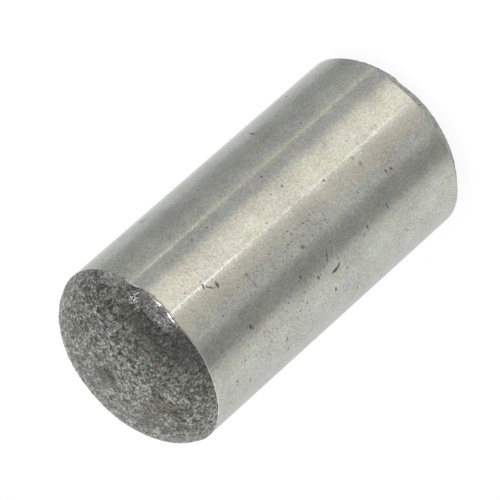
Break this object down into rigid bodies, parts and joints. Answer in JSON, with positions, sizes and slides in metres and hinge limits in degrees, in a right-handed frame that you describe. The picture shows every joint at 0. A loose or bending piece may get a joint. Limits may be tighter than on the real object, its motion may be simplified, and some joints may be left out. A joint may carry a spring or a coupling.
{
  "type": "round shaft key",
  "caption": "Short solid round steel key with a ground cylindrical barrel, one rough crowned end and one rough flat end with a rounded shoulder.",
  "frame": {"origin": "centre of the flat foot that the pin stands on", "axes": "+Z along the pin's axis, from the flat foot to the crowned end"},
  "size_m": [0.01, 0.01, 0.0211],
  "materials": {
    "ground_steel": "satin ground barrel with soft lengthwise reflections and a few small dark pits; both ends left rough and dark grey"
  },
  "bodies": {
    "root": {"pin": "ground_steel"}
  },
  "joints": []
}
